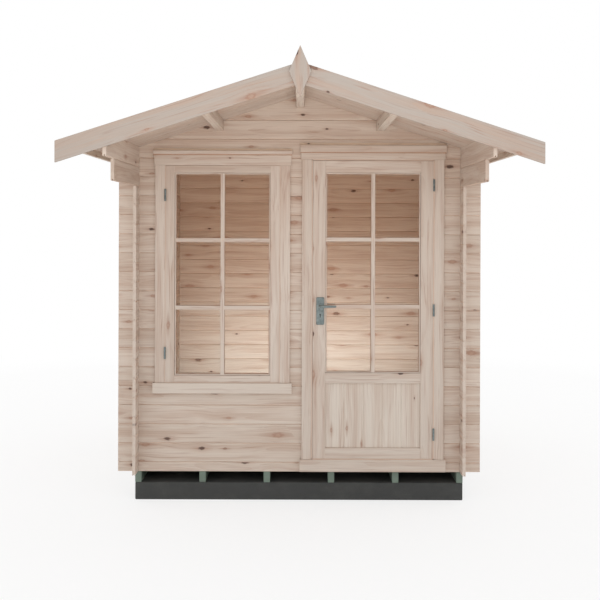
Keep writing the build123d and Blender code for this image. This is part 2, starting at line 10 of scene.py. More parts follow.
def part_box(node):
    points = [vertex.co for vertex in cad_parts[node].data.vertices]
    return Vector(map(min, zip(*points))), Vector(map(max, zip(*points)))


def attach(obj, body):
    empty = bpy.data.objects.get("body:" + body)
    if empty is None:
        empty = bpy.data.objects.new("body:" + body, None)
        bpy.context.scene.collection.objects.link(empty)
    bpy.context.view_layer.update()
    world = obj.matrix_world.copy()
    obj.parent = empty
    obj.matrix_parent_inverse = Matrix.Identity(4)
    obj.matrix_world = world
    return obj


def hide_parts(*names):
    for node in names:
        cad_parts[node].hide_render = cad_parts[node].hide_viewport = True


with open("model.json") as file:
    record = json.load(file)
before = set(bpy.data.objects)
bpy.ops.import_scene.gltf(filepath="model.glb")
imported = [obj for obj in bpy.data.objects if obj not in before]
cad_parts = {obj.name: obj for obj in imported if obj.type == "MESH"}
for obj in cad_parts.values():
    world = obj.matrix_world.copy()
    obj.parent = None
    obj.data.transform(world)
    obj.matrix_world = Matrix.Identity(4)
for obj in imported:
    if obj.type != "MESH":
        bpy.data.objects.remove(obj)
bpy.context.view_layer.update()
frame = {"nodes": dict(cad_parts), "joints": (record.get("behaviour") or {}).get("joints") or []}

# The camera stands level in front of the cabin, at a tall person's eye height. Its lens is moved
# down on its mount, as on a view camera, so that the corners of the cabin stay upright.
eye_place = (0.0016, -6.7125, 1.668)
eye_roll = -0.0033
camera_data = bpy.data.cameras.new("camera")
camera_data.sensor_width = 36.0
camera_data.lens = 57.3
camera_data.shift_y = -0.13
camera = bpy.data.objects.new("camera", camera_data)
camera.location = eye_place
camera.rotation_euler = (math.pi / 2, eye_roll, 0)
bpy.context.scene.collection.objects.link(camera)
bpy.context.scene.camera = camera

# The studio: a white floor that keeps the cabin's shadow, an even white room all round, a soft lamp
# near the floor that lights the porch roof from below, and two low strips of light indoors: a white
# one for the foot of the back wall, as daylight falls in, and a warm one for the walls above.
floor_half = 30.0
floor_white_share = 0.74
shadow_reach = (2.2, 6.0)
room_level = 1.0
porch_warm = (1.0, 0.84, 0.72)
glow_warm = (1.0, 0.66, 0.5)
daylight_cool = (0.93, 0.97, 1.0)
strip = (1.7, 0.25)
lamps = [
    ("porch_lamp", (0.0, -3.6, 0.1), (0.0, -1.45, 2.3), (2.4, 2.4), 12.0, 80, porch_warm),
    ("indoor_daylight", (0.06, -0.86, 0.42), (0.06, 0.96, 0.35), strip, 8.2, 75, daylight_cool),
    ("indoor_glow", (0.0, -0.86, 0.3), (0.0, 0.96, 1.9), strip, 5.7, 90, glow_warm),
]


def put(kind, inputs=None, tree=None, **settings):
    """Adds one shader node. Each input takes a plain value or the socket that feeds it.

    The node goes into the tree of the sockets that feed it, or into the one given.
    """
    inputs = inputs or {}
    feeds = {name: value for name, value in inputs.items() if isinstance(value, bpy.types.NodeSocket)}
    tree = tree or next(iter(feeds.values())).id_data
    made = tree.nodes.new("ShaderNode" + kind)
    for name, value in settings.items():
        setattr(made, name, value)
    for name, value in inputs.items():
        if name in feeds:
            tree.links.new(value, made.inputs[name])
        else:
            made.inputs[name].default_value = value
    return made


def sums(operation, *terms):
    """One step of arithmetic on plain numbers or sockets."""
    return put("Math", dict(enumerate(terms)), operation=operation).outputs[0]


def times(value, factor):
    """One value multiplied by another."""
    return sums("MULTIPLY", value, factor)


def length(vector):
    """How long a vector is."""
    return put("VectorMath", {0: vector}, operation="LENGTH").outputs["Value"]


def ramped(value, low, high):
    """0 below low, 1 above high, and a smooth rise between; low over high turns it round."""
    ends = {"From Min": min(low, high), "From Max": max(low, high)}
    ends["To Min"], ends["To Max"] = (0.0, 1.0) if low < high else (1.0, 0.0)
    return put("MapRange", {"Value": value, **ends}, interpolation_type="SMOOTHSTEP").outputs[0]


def spot_on(tree):
    """A point's own place on its piece, in metres."""
    return put("TexCoord", tree=tree).outputs["Object"]


def seen_directly(tree):
    """1 for rays that show the background: from the camera, in a reflection or through glass."""
    path = put("LightPath", tree=tree).outputs
    mirrored = sums("MAXIMUM", path["Is Glossy Ray"], path["Is Transmission Ray"])
    return sums("MAXIMUM", path["Is Camera Ray"], mirrored)


def tint(red, green, blue):
    """A colour in screen values from 0 to 255, as the linear values that a shader takes."""
    shares = [value / 255 for value in (red, green, blue)]
    linear = [share / 12.92 if share < 0.04045 else ((share + 0.055) / 1.055) ** 2.4 for share in shares]
    return (*linear, 1.0)


def finish(name):
    """A new material, its node tree and its shader."""
    made = bpy.data.materials.new(name)
    made.use_nodes = True
    return made, made.node_tree, made.node_tree.nodes["Principled BSDF"]


def placed(name, work, material):
    """An object in the scene from a finished bmesh."""
    mesh = bpy.data.meshes.new(name)
    bmesh.ops.recalc_face_normals(work, faces=work.faces[:])
    work.to_mesh(mesh)
    work.free()
    mesh.materials.append(material)
    made = bpy.data.objects.new(name, mesh)
    bpy.context.scene.collection.objects.link(made)
    return made


floor_white, tree, shader = finish("studio_floor_white")
shader.inputs["Base Color"].default_value = tint(248, 248, 248)
shader.inputs["Roughness"].default_value = 0.9
glow = put("Emission", {"Strength": 1.0}, tree)
away = ramped(length(spot_on(tree)), *shadow_reach)
shown = times(seen_directly(tree), sums("MAXIMUM", away, floor_white_share))
veil = put("MixShader", {0: shown, 1: shader.outputs[0], 2: glow.outputs[0]})
tree.links.new(veil.outputs[0], tree.nodes["Material Output"].inputs["Surface"])
work = bmesh.new()
bmesh.ops.create_grid(work, x_segments=4, y_segments=4, size=floor_half)
studio_floor = placed("studio_floor", work, floor_white)

world = bpy.data.worlds.new("white_room")
bpy.context.scene.world = world
world.use_nodes = True
tree = world.node_tree
tree.nodes.clear()
room = put("Background", {"Color": (1, 1, 1, 1), "Strength": room_level}, tree)
put("OutputWorld", {"Surface": room.outputs[0]})

for name, place, target, size, power, spread, colour in lamps:
    lamp = bpy.data.lights.new(name, "AREA")
    lamp.shape = "RECTANGLE"
    lamp.size, lamp.size_y = size
    lamp.energy = power
    lamp.spread = math.radians(spread)
    lamp.color = colour
    holder = bpy.data.objects.new(name, lamp)
    holder.location = place
    holder.visible_glossy = False
    holder.visible_camera = False
    holder.rotation_euler = (Vector(target) - Vector(place)).to_track_quat("-Z", "Y").to_euler()
    bpy.context.scene.collection.objects.link(holder)

# The base slab: one cast block of dark grey concrete that carries the bearers. It is struck off
# level and its edges are rubbed round, with fine pores and a dusty bloom on the faces.
slab_edge = 0.006
slab_edge_steps = 3
slab_relief = 0.0015
slab_grey = tint(66, 67, 66)
slab_bloom = tint(82, 83, 81)
slab_pore = tint(40, 40, 41)
weld = 1e-5
flat_angle = math.radians(0.5)
arris_angle = math.radians(24)


def welded(node):
    """A CAD node's solids as a bmesh, with points in the same place made one."""
    work = bmesh.new()
    work.from_mesh(frame["nodes"][node].data)
    bmesh.ops.remove_doubles(work, verts=work.verts[:], dist=weld)
    return work


def eased(node, ease, segments=2):
    """A CAD node's solids as a bmesh with clean faces and their sharp edges rounded off."""
    work = welded(node)
    bmesh.ops.dissolve_limit(work, angle_limit=flat_angle, verts=work.verts[:], edges=work.edges[:])
    arrises = [edge for edge in work.edges
               if edge.calc_face_angle(0) > arris_angle and edge.calc_length() > 3 * ease]
    bmesh.ops.bevel(work, geom=arrises, offset=ease, segments=segments, profile=0.5,
                    affect="EDGES", clamp_overlap=True)
    return work


def mixed(share, first, second, blend="MIX"):
    """A colour between two others."""
    made = put("Mix", {0: share, 6: first, 7: second}, data_type="RGBA", blend_type=blend)
    return made.outputs[2]


def stretched(vector, scale):
    """Coordinates multiplied along each axis."""
    return put("VectorMath", {0: vector, 1: scale}, operation="MULTIPLY").outputs[0]


def cloudy(vector, scale, detail=2.0, roughness=0.5):
    """Soft noise from 0 to 1. Three scales in place of one stretch it along the axes."""
    if isinstance(scale, tuple):
        vector, scale = stretched(vector, scale), 1.0
    values = {"Vector": vector, "Scale": scale, "Detail": detail, "Roughness": roughness}
    return put("TexNoise", values).outputs[0]


def coated(shader, colour, roughness):
    """Feeds a shader's colour and roughness."""
    links = shader.id_data.links
    links.new(colour, shader.inputs["Base Color"])
    links.new(roughness, shader.inputs["Roughness"])


def bumped(shader, height, depth):
    """Small relief on a shader, depth metres high."""
    relief = put("Bump", {"Height": height, "Distance": depth, "Strength": 1.0})
    shader.id_data.links.new(relief.outputs[0], shader.inputs["Normal"])


def fixed(piece, body="cabin", node=None):
    """Hides the CAD node that a piece stands for, if any, and hangs the piece on the body that it moves
    with.
    """
    if node:
        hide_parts(node)
    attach(piece, body)


slab_finish, tree, shader = finish("dark_cast_concrete")
spot = spot_on(tree)
cloud = cloudy(spot, 5.0, 6.0, 0.62)
sand = cloudy(spot, 420.0)
pores = put("TexVoronoi", {"Vector": spot, "Scale": 95.0})
pore = ramped(pores.outputs["Distance"], 0.2, 0.1)
shade = mixed(ramped(cloud, 0.4, 0.7), slab_grey, slab_bloom)
shade = mixed(times(sand, 0.35), shade, slab_pore)
shade = mixed(times(pore, 0.7), shade, slab_pore)
coated(shader, shade, ramped(cloud, -0.8, 1.0))
bumped(shader, sums("SUBTRACT", sand, pore), slab_relief)
base_slab = placed("base_slab_cast", eased("base_slab", slab_edge, slab_edge_steps), slab_finish)
fixed(base_slab, node="base_slab")

# The bearers: six spruce battens, pressure treated to a grey green, laid on the slab from front
# to back. Sawn square, with lightly eased edges; the walls and the floor boards are nailed to them.
bearer_edge = 0.0016
bearer_relief = 0.0008
bearer_pale = tint(118, 134, 121)
bearer_late = tint(88, 104, 93)
bearer_knots = (tint(78, 84, 70), tint(56, 60, 50))
bearer_end = tint(112, 126, 115)
heart_share = 0.45
heart_depths = (0.022, 0.075)
log_run = 60.0


def separate(count, edges):
    """The points that edges join, as one list of point numbers for each separate board."""
    boards = [[index] for index in range(count)]
    for first, second in edges:
        small, large = sorted((boards[first], boards[second]), key=len)
        if small is not large:
            large += small
            for index in small:
                boards[index] = large
    return {id(board): board for board in boards}.values()


def span(points):
    """Lowest and highest corners of the box round some points."""
    return [Vector([end(point[axis] for point in points) for axis in range(3)]) for end in (min, max)]


def grain_into(mesh, along, seed):
    """Gives each separate board of a mesh its own place in a tree.

    along is the way that the grain runs, a function of the board's middle that says it, or none
    for the board's longest side. Each point keeps how far it lies along, across and through the
    tree from its heart, in metres, and the way that its grain runs.
    """
    draw = random.Random(seed)
    count = len(mesh.vertices)
    places = [0.0] * (3 * count)
    ways = [0.0] * (3 * count)
    tones = [0.0] * count
    for board in separate(count, [edge.vertices for edge in mesh.edges]):
        points = [mesh.vertices[index].co for index in board]
        low, high = span(points)
        middle = (low + high) / 2
        longest = max(range(3), key=lambda axis: high[axis] - low[axis])
        way = along(middle) if callable(along) else along or [axis == longest for axis in range(3)]
        way = Vector(way).normalized()
        side = Vector((1, 0, 0)) if abs(way.y) > 0.9 else Vector((0, 1, 0))
        other = way.cross(side)
        widths = [max(point.dot(axis) for point in points) - min(point.dot(axis) for point in points)
                  for axis in (side, other)]
        across, through = (side, other) if widths[0] > widths[1] else (other, side)
        aside = draw.uniform(-heart_share, heart_share) * max(widths)
        depth = draw.uniform(*heart_depths) * draw.choice((-1, 1))
        start = draw.uniform(0, log_run)
        tone = draw.random()
        for index, point in zip(board, points):
            offset = point - middle
            places[3 * index:3 * index + 3] = (start + offset.dot(way), offset.dot(across) + aside,
                                               offset.dot(through) + depth)
            ways[3 * index:3 * index + 3] = way
            tones[index] = tone
    mesh.attributes.new("grain", "FLOAT_VECTOR", "POINT").data.foreach_set("vector", places)
    mesh.attributes.new("way", "FLOAT_VECTOR", "POINT").data.foreach_set("vector", ways)
    mesh.attributes.new("tone", "FLOAT", "POINT").data.foreach_set("value", tones)


def shared_effect(name, inputs, outputs):
    """A shader node group, with what comes in and what goes out."""
    tree = bpy.data.node_groups.new(name, "ShaderNodeTree")
    for way, sockets in (("INPUT", inputs), ("OUTPUT", outputs)):
        for label, kind in sockets:
            tree.interface.new_socket(label, in_out=way, socket_type="NodeSocket" + kind)
    return tree, tree.nodes.new("NodeGroupInput").outputs, tree.nodes.new("NodeGroupOutput").inputs


def lifted(value, factor, start):
    """A value multiplied by a factor and added to a start."""
    return sums("MULTIPLY_ADD", value, factor, start)


knot_run = 0.31
knot_rise = 0.098
knot_stretch = 0.52
tail_shape = (0.15, 1.2, 0)
dead_chance = (0.62, 0.7)
swell_base = 2.718
ring_pitch = 0.0115
ring_wander = 0.03
grain_wave = 0.05
knot_edge_scale = (70, 130, 130)
wave_scale = (1.7, 5, 5)
wander_scale = (0.9, 9, 9)
band_scale = (1.3, 24, 24)
fibre_scale = (5, 330, 330)
vein_scale = (2.6, 120, 120)
dull_tone = (0.945, 0.935, 0.925, 1)
bright_tone = (1.02, 1.022, 1.025, 1)
sawn_end_share = 0.6
patch_scale = (4, 20, 20)
pine_figure, given, gives = shared_effect(
    "pine_figure",
    [("Grain", "Vector"), ("Tone", "Float"), ("Knot Share", "Float"), ("Knot Size", "Float"),
     ("Vein", "Float"), ("Early Wood", "Color"), ("Late Wood", "Color"), ("Live Knot", "Color"),
     ("Dead Knot", "Color"), ("Way", "Vector"), ("Facing", "Vector"), ("Sawn End", "Color"),
     ("Bevel", "Color"), ("Bevel Share", "Float"), ("Only Below", "Float")],
    [("Colour", "Color"), ("Roughness", "Float"), ("Height", "Float")])
tree = pine_figure
grain = given["Grain"]
cells = stretched(grain, (1 / knot_run, 1 / knot_rise, 0))
knots = put("TexVoronoi", {"Vector": cells, "Scale": 1.0, "Randomness": 0.85},
            voronoi_dimensions="2D").outputs
gap = put("VectorMath", {0: cells, 1: knots["Position"]}, operation="SUBTRACT").outputs[0]
gap = stretched(gap, (knot_run, knot_rise, 0))
chance = put("SeparateColor", {0: knots["Color"]}).outputs
there = sums("LESS_THAN", chance[1], given["Knot Share"])
dead = ramped(chance[2], *dead_chance)
size = lifted(sums("POWER", chance[0], 2.0), 0.75, 0.5)
size = times(size, lifted(dead, -0.3, 1.0))
size = times(size, given["Knot Size"])
reach = sums("DIVIDE", length(stretched(gap, (knot_stretch, 1, 0))), size)
reach = sums("ADD", reach, lifted(cloudy(grain, knot_edge_scale), 1.1, -0.55))
knot = times(ramped(reach, 1.3, 0.6), there)
tail = sums("DIVIDE", length(stretched(gap, tail_shape)), size)
tail = times(ramped(tail, 1.4, 0.2), there)
swell = sums("POWER", swell_base, times(sums("POWER", reach, 2.0), -0.16))
swell = times(swell, there)
aside = put("SeparateXYZ", {0: gap}).outputs[1]
bent = times(times(aside, swell), -0.75)
wave = lifted(cloudy(grain, wave_scale, 1.5), grain_wave, -grain_wave / 2)
part = put("SeparateXYZ", {0: grain}).outputs
flow_across = sums("ADD", part[1], sums("ADD", bent, wave))
flow_through = sums("ADD", part[2], wave)
flow = put("CombineXYZ", {0: part[0], 1: flow_across, 2: flow_through}).outputs[0]
radius = length(stretched(flow, (0, 1, 1)))
radius = sums("ADD", radius, times(cloudy(flow, wander_scale), ring_wander))
ring = sums("POWER", sums("FRACT", sums("DIVIDE", radius, ring_pitch)), 2.2)
band = cloudy(flow, band_scale, 3.0)
late = times(ring, ramped(band, 0.2, 0.7))
fibre = cloudy(flow, fibre_scale)
vein = ramped(cloudy(flow, vein_scale), 0.54, 0.74)
layers = [
    (times(ramped(band, 0.4, 0.7), 0.42), "Late Wood"),
    (times(late, 0.42), "Late Wood"),
    (times(vein, given["Vein"]), "Live Knot"),
    (times(swell, 0.3), "Late Wood"),
    (times(tail, 0.4), "Live Knot"),
]
wood = given["Early Wood"]
for share, colour in layers:
    wood = mixed(share, wood, given[colour])
hollow = times(ramped(reach, 0.75, 0.25), lifted(dead, -0.8, 0.8))
core = mixed(dead, given["Live Knot"], given["Dead Knot"])
core = mixed(hollow, core, given["Late Wood"])
wood = mixed(times(knot, lifted(dead, 0.4, 0.5)), wood, core)
wood = mixed(1.0, wood, mixed(given["Tone"], dull_tone, bright_tone), "MULTIPLY")
grey = put("CombineColor", dict.fromkeys(range(3), lifted(fibre, 0.2, 0.9))).outputs[0]
wood = mixed(1.0, wood, grey, "MULTIPLY")
square = put("VectorMath", {0: given["Facing"], 1: given["Way"]}, operation="DOT_PRODUCT").outputs["Value"]
end = ramped(sums("ABSOLUTE", square), 0.6, 0.9)
wood = mixed(times(end, sawn_end_share), wood, given["Sawn End"])
# Painted light and shade: faces that slant take the bevel colour, chosen by the way they face.
rise = put("SeparateXYZ", {0: given["Facing"]}).outputs[2]
tilt = times(sums("ABSOLUTE", rise), sums("SUBTRACT", 1.0, given["Only Below"]))
tilt = sums("MAXIMUM", tilt, times(rise, -1.0))
slant = times(ramped(tilt, 0.2, 0.5), ramped(tilt, 0.99, 0.96))
patches = ramped(cloudy(grain, patch_scale), 0.35, 0.65)
slant = times(times(slant, lifted(patches, 0.55, 0.35)), given["Bevel Share"])
tree.links.new(mixed(slant, wood, given["Bevel"]), gives["Colour"])
tree.links.new(lifted(fibre, 0.25, 0.5), gives["Roughness"])
height = sums("ADD", times(late, 0.5), times(fibre, 0.6))
tree.links.new(sums("SUBTRACT", height, times(knot, 0.5)), gives["Height"])


def timber(name, early, late, knots, sawn, knot_share, knot_size, vein=0.3, relief=0.0004, bevel=None,
           below=False):
    """A wood finish: the shared figure of rings, fibres, knots and cut faces in its own colours.

    knots are the colours of live and dead ones. Sawn ends have a colour of their own, and slanting
    edges take the bevel's colour, unevenly, where one is given: all, or only those that face down.
    The bevel's colour is painted light in the logs' joints and painted shadow under the drip caps.
    """
    made, tree, shader = finish(name)
    grain = put("Attribute", tree=tree, attribute_name="grain").outputs["Vector"]
    tone = put("Attribute", tree=tree, attribute_name="tone").outputs["Fac"]
    way = put("Attribute", tree=tree, attribute_name="way").outputs["Vector"]
    outside = put("NewGeometry", tree=tree).outputs["Normal"]
    facing = put("VectorTransform", {0: outside}, vector_type="NORMAL", convert_from="WORLD",
                 convert_to="OBJECT").outputs[0]
    values = {"Grain": grain, "Tone": tone, "Knot Share": knot_share, "Knot Size": knot_size,
              "Vein": vein, "Early Wood": early, "Late Wood": late, "Live Knot": knots[0],
              "Dead Knot": knots[1], "Way": way, "Facing": facing, "Sawn End": sawn,
              "Bevel": bevel or sawn, "Bevel Share": 1.0 if bevel else 0.0,
              "Only Below": 1.0 if below else 0.0}
    figure = put("Group", values, node_tree=pine_figure).outputs
    coated(shader, figure["Colour"], figure["Roughness"])
    bumped(shader, figure["Height"], relief)
    return made


def planed(node, along, ease, material, body="cabin", seed=None):
    """The boards of a CAD node with eased edges and their own grain, standing for that node."""
    piece = placed(node + "_planed", eased(node, ease), material)
    grain_into(piece.data, along, seed or node)
    fixed(piece, body, node)


along_x = (1, 0, 0)
along_y = (0, 1, 0)
along_z = (0, 0, 1)
treated_green = timber("treated_bearer_green", bearer_pale, bearer_late, bearer_knots, bearer_end,
                       knot_share=0.25, knot_size=0.009, relief=bearer_relief)
planed("floor_bearers", along_y, bearer_edge, treated_green)

# The floor: narrow spruce boards laid across the bearers inside the walls, tongue to groove, with
# eased top edges. Each board has two nails over every bearer.
floor_cover = 0.0875
floor_joint = 0.0006
floor_ease = 0.0014
nail_radius = 0.0026
nail_shares = [(1, -0.5), (1, 0.12), (0.7, 0.26), (0, 0.32)]
nail_sides = 10
nail_inset_share = 0.22
nail_dark = tint(120, 122, 122)
nail_light = tint(168, 170, 170)
floor_early = tint(208, 192, 177)
pine_late = tint(184, 152, 131)
pine_knots = (tint(160, 114, 92), tint(84, 58, 48))
pine_end = tint(211, 196, 183)


def islands(node):
    """Lowest and highest corners of each separate solid in a CAD node, the lowest solid first."""
    work = welded(node)
    work.verts.index_update()
    points = [vertex.co.copy() for vertex in work.verts]
    edges = [[vertex.index for vertex in edge.verts] for edge in work.edges]
    work.free()
    boxes = [span([points[index] for index in solid]) for solid in separate(len(points), edges)]
    return sorted(boxes, key=lambda box: box[0].z)


def laid(start, end, cover, joint=0.0):
    """Front and back of each board in a run of them, with a joint's width between two."""
    count = round((end - start) / cover)
    step = (end - start) / count
    fronts = [start + board * step + joint / 2 for board in range(count)]
    return [(front, front + step - joint) for front in fronts]


def skinned(work, rings):
    """A closed skin over rings of points in space. A ring may be a single point."""
    rings = [[work.verts.new(point) for point in ring] for ring in rings]
    sides = max(len(ring) for ring in rings)
    for lower, upper in zip(rings, rings[1:]):
        for step in range(sides):
            after = (step + 1) % sides
            corners = [lower[step % len(lower)], lower[after % len(lower)],
                       upper[after % len(upper)], upper[step % len(upper)]]
            corners = list(dict.fromkeys(corners))
            if len(corners) > 2:
                work.faces.new(corners)
    for ring in (rings[0], rings[-1]):
        if len(ring) > 1:
            work.faces.new(ring)


def prism(work, outline, way):
    """A closed bar: an outline of points in space, and the same one moved along by a vector."""
    skinned(work, [outline, [Vector(point) + Vector(way) for point in outline]])


def turned(work, foot, axis, profile, sides):
    """A turned piece: radius and height pairs about an axis, closed at both ends."""
    axis = Vector(axis).normalized()
    east = axis.orthogonal().normalized()
    north = axis.cross(east)
    turns = [2 * math.pi * step / sides for step in range(sides)]
    rings = []
    for radius, height in profile:
        middle = Vector(foot) + axis * height
        ring = [middle + (east * math.cos(turn) + north * math.sin(turn)) * radius for turn in turns]
        rings.append(ring if radius else [middle])
    skinned(work, rings)


def smooth(piece, angle=35):
    """Smooth shading on a piece, with edges sharper than an angle kept."""
    piece.data.polygons.foreach_set("use_smooth", [True] * len(piece.data.polygons))
    piece.data.set_sharp_from_angle(angle=math.radians(angle))
    return piece


def nail_head(work, place, axis, radius):
    """A flat round nail head, a little domed, half sunk in the wood."""
    turned(work, place, axis, [(radius * out, radius * up) for out, up in nail_shares], nail_sides)


mottling, given, gives = shared_effect(
    "mottling",
    [("Spot", "Vector"), ("Scale", "Float"), ("Detail", "Float"), ("Dark", "Color"), ("Light", "Color"),
     ("Rough Start", "Float"), ("Rough End", "Float")],
    [("Colour", "Color"), ("Roughness", "Float")])
cloud = cloudy(given["Spot"], given["Scale"], given["Detail"])
rough_ends = {"Value": cloud, "From Min": given["Rough Start"], "From Max": given["Rough End"]}
rough = put("MapRange", rough_ends, interpolation_type="SMOOTHSTEP").outputs[0]
mottling.links.new(mixed(cloud, given["Dark"], given["Light"]), gives["Colour"])
mottling.links.new(rough, gives["Roughness"])


def mottled(name, dark, light, scale, detail, rough_ends, metallic=0.0):
    """A finish that goes softly from one colour to another and grows rougher with it."""
    made, tree, shader = finish(name)
    values = {"Spot": spot_on(tree), "Scale": scale, "Detail": detail, "Dark": dark, "Light": light,
              "Rough Start": rough_ends[0], "Rough End": rough_ends[1]}
    look = put("Group", values, node_tree=mottling).outputs
    coated(shader, look["Colour"], look["Roughness"])
    shader.inputs["Metallic"].default_value = metallic
    return made


floor_pine = timber("planed_floor_pine", floor_early, pine_late, pine_knots, pine_end,
                    knot_share=0.35, knot_size=0.013)
nail_steel = mottled("bright_nail_steel", nail_dark, nail_light, 900.0, 3.0, (-0.4, 1.6), metallic=0.9)
low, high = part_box("floor_deck")
bearer_middles = [(left.x + right.x) / 2 for left, right in islands("floor_bearers")]
work = bmesh.new()
nails = bmesh.new()
for front, back in laid(low.y, high.y, floor_cover, floor_joint):
    section = [(front, low.z), (back, low.z), (back, high.z - floor_ease), (back - floor_ease, high.z),
               (front + floor_ease, high.z), (front, high.z - floor_ease)]
    prism(work, [(low.x, y, z) for y, z in section], (high.x - low.x, 0, 0))
    for x in bearer_middles:
        for share in (nail_inset_share, 1 - nail_inset_share):
            if low.x < x < high.x:
                nail_head(nails, (x, front + share * (back - front), high.z), along_z, nail_radius)
floor_boards = placed("floor_boards", work, floor_pine)
grain_into(floor_boards.data, along_x, "floor_boards")
fixed(floor_boards, node="floor_deck")
fixed(placed("floor_nails", nails, nail_steel))

# The wall logs: planed raw spruce, 19 mm thick, with a tongue above, a groove below and bevelled
# edges that show as a fine line at each joint; the bevels are painted paler than the wood, painted
# light that lifts the shade in each joint. They lock into each other's notches at the corners.
log_ease = 0.0007
log_early = tint(218, 204, 191)
# Painted light: a paler colour on the log bevels, so that the shade in each joint reads lighter.
log_bevel_painted_light = tint(236, 212, 194)
log_pine = timber("raw_log_pine", log_early, pine_late, pine_knots, pine_end,
                  knot_share=0.4, knot_size=0.0142, vein=0.32, bevel=log_bevel_painted_light)
for node in ("left_wall_logs", "right_wall_logs"):
    planed(node, along_y, log_ease, log_pine)
for node in ("back_wall_logs", "front_half_log", "front_logs_below_window", "front_logs_left",
             "front_logs_between", "front_logs_right", "front_gable_logs", "back_gable_logs"):
    planed(node, along_x, log_ease, log_pine)

# The window's frame: posts slotted over the log ends, a head under the lintel with a drip cap on
# it, a deep sill and the stop battens. Planed raw pine with eased edges, screwed together, with a
# cover fillet nailed over the cap, painted pale as painted light on the shaded wall above the cap,
# and a fillet of brown mastic under it that serves as a painted shadow line. The cap's downward
# bevels carry painted shadow too.
frame_ease = 0.0018
cap_ease = 0.0064
cover_side = 0.008
cover_rise = 0.014
shadow_fillet_side = 0.006
joinery_early = tint(214, 201, 189)
joinery_late = tint(190, 163, 145)
pale_early = tint(221, 210, 198)
sill_early = tint(218, 205, 193)
# Painted light: the cover fillet is far paler than the pine, to lift the shade above the cap.
cover_early_painted_light = tint(252, 234, 214)
# Painted shadow: a brown on the caps' downward bevels, a shadow line under each cap.
cap_edge_painted_shadow = tint(184, 147, 124)
# Painted shadow: the brown mastic colours, for the painted shadow line under each cap and for the glass
# seals.
mastic_painted_shadow_brown = tint(184, 150, 128)
mastic_painted_shadow_dark = tint(158, 124, 102)
joinery_pine = timber("planed_joinery_pine", joinery_early, joinery_late, pine_knots, pine_end,
                      knot_share=0.46, knot_size=0.0105, vein=0.46)
pale_pine = timber("pale_planed_pine", pale_early, joinery_late, pine_knots, pine_end,
                   knot_share=0.34, knot_size=0.0095)
sill_pine = timber("pale_sill_pine", sill_early, pale_early, pine_knots, pine_end,
                   knot_share=0.3, knot_size=0.008, vein=0.22)
cap_pine = timber("drip_cap_pine", joinery_early, joinery_late, pine_knots, pine_end,
                  knot_share=0.36, knot_size=0.0095, bevel=cap_edge_painted_shadow, below=True)
painted_light_cover_pine = timber("pale_cover_pine", cover_early_painted_light, pale_early, pine_knots, pine_end,
                    knot_share=0.2, knot_size=0.006)
brown_mastic = mottled("brown_mastic", mastic_painted_shadow_dark, mastic_painted_shadow_brown, 160.0, 3.0, (-0.6, 1.2))
for node in ("window_jambs", "window_stops"):
    planed(node, along_z, frame_ease, joinery_pine)
planed("window_head", along_x, frame_ease, joinery_pine)
planed("window_sill", along_x, frame_ease, sill_pine)
planed("window_cap", along_x, cap_ease, cap_pine)


def pointed(prefix):
    """Fillets along a drip cap: pale pine over it, against the wall, as painted light, and brown mastic
    under it, on the head, as a painted shadow line.
    """
    low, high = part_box(prefix + "_cap")
    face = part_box(prefix + "_head")[0].y
    for name, y, z, side, rise, material, slot in (
            ("cover", high.y, high.z, cover_side, cover_rise, painted_light_cover_pine, "pine_joinery"),
            ("mastic", face, low.z, shadow_fillet_side, -shadow_fillet_side, brown_mastic, "roof_felt")):
        work = bmesh.new()
        corners = [(low.x, y, z), (low.x, y - side, z), (low.x, y, z + rise)]
        prism(work, corners, (high.x - low.x, 0, 0))
        fillet = placed(f"{prefix}_cap_{name}", work, material)
        grain_into(fillet.data, along_x, fillet.name)
        fixed(fillet)


pointed("window")

# The window's sash: two stiles with rails between them, closed on its stops. Its edges are eased
# by hand, so the joints between stile and rail show as a fine line.
sash_ease = 0.0008
planed("window_stiles", along_z, sash_ease, joinery_pine)
planed("window_rails", along_x, sash_ease, joinery_pine)

# The window's glazing: one sheet of clear glass, held on both faces by moulded pine beads in a
# thin line of mastic, with planted glazing bars that part it into six panes. The mastic's brown
# edge along beads and bars is partly the seal and partly painted shade.
bead_width = 0.0086
bead_depth = 0.0125
bead_gap = 0.0016
bead_round_share = 0.55
bar_width = 0.0236
bar_depth = 0.0135
bar_round_share = 0.5
bar_step = 0.004
bar_halving = 0.0004
round_steps = 5
# How far the brown seal shows past beads and bars: partly real mastic, partly painted shade on their edges.
seal_show = 0.0018
seal_depth = 0.0014
window_bar_levels = (1.1535, 1.5575)
glass_clear = tint(246, 250, 248)


def ovolo(width, depth, step):
    """Points of a quarter round under the flat face of a moulding, from its edge in to its foot."""
    turns = [math.pi / 2 * share / round_steps for share in range(round_steps, -1, -1)]
    return [(width * (1 - math.sin(turn)), step + (depth - step) * (1 - math.cos(turn))) for turn in turns]


def mitred(work, left, right, bottom, top, face, outward, profile):
    """Four lengths mitred round a rectangle, their profile given as inset and height over a face."""
    rings = []
    for inset, height in profile:
        y = face + outward * height
        rings.append([(left + inset, y, bottom + inset), (right - inset, y, bottom + inset),
                      (right - inset, y, top - inset), (left + inset, y, top - inset)])
    for corner in range(4):
        skinned(work, [[ring[end % 4] for ring in rings] for end in (corner, corner + 1)])


